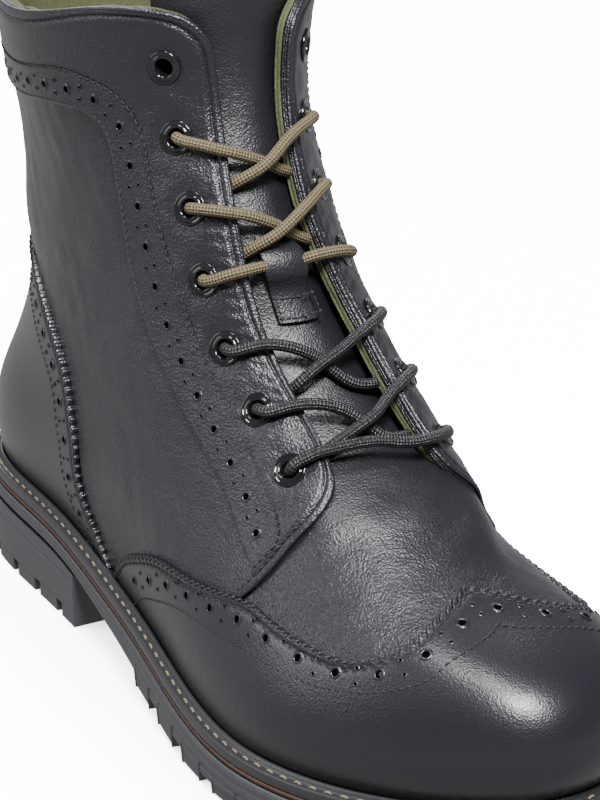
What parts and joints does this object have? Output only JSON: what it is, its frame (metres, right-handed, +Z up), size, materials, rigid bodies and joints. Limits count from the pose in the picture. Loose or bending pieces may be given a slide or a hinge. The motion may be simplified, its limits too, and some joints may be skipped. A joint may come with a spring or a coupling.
{
  "type": "brogue boot",
  "caption": "Right-foot lace-up ankle boot with a winged and perforated toe cap, derby facings, storm welt and cleated rubber sole.",
  "frame": {"origin": "on the floor, under the middle of the boot's box", "axes": "+X to the toe, +Y to the inner (medial) side of the right foot, +Z up"},
  "size_m": [0.3051, 0.1078, 0.2102],
  "materials": {
    "grain_leather": "black tumbled grain, soft sheen",
    "cap_leather": "black smooth calf, waxed",
    "tongue_leather": "black smooth, matt",
    "insole_leather": "tan, unfinished",
    "welt_black": "black edge dressing",
    "midsole_brown": "red-brown edge",
    "sole_rubber": "matt black",
    "eyelet_metal": "gloss black",
    "lace_olive": "round braid, olive",
    "lace_black": "round braid, black"
  },
  "bodies": {
    "root": {"upper": "grain_leather", "eyestay": "grain_leather", "wing_cap": "cap_leather", "heel_counter": "cap_leather", "tongue": "tongue_leather", "tongue_loop": "tongue_leather", "insole": "insole_leather", "welt": "welt_black", "midsole": "midsole_brown", "outsole": "sole_rubber", "heel": "sole_rubber", "eyelet_outer_1": "eyelet_metal", "eyelet_outer_2": "eyelet_metal", "eyelet_outer_3": "eyelet_metal", "eyelet_outer_4": "eyelet_metal", "eyelet_outer_5": "eyelet_metal", "eyelet_outer_6": "eyelet_metal", "eyelet_outer_7": "eyelet_metal", "eyelet_inner_1": "eyelet_metal", "eyelet_inner_2": "eyelet_metal", "eyelet_inner_3": "eyelet_metal", "eyelet_inner_4": "eyelet_metal", "eyelet_inner_5": "eyelet_metal", "eyelet_inner_6": "eyelet_metal", "eyelet_inner_7": "eyelet_metal", "lace_olive_bar": "lace_olive", "lace_olive_cross_2_3": "lace_olive", "lace_olive_cross_3_4": "lace_olive", "lace_black_bar": "lace_black", "lace_black_cross_5_6": "lace_black", "lace_black_cross_6_7": "lace_black"}
  },
  "joints": []
}
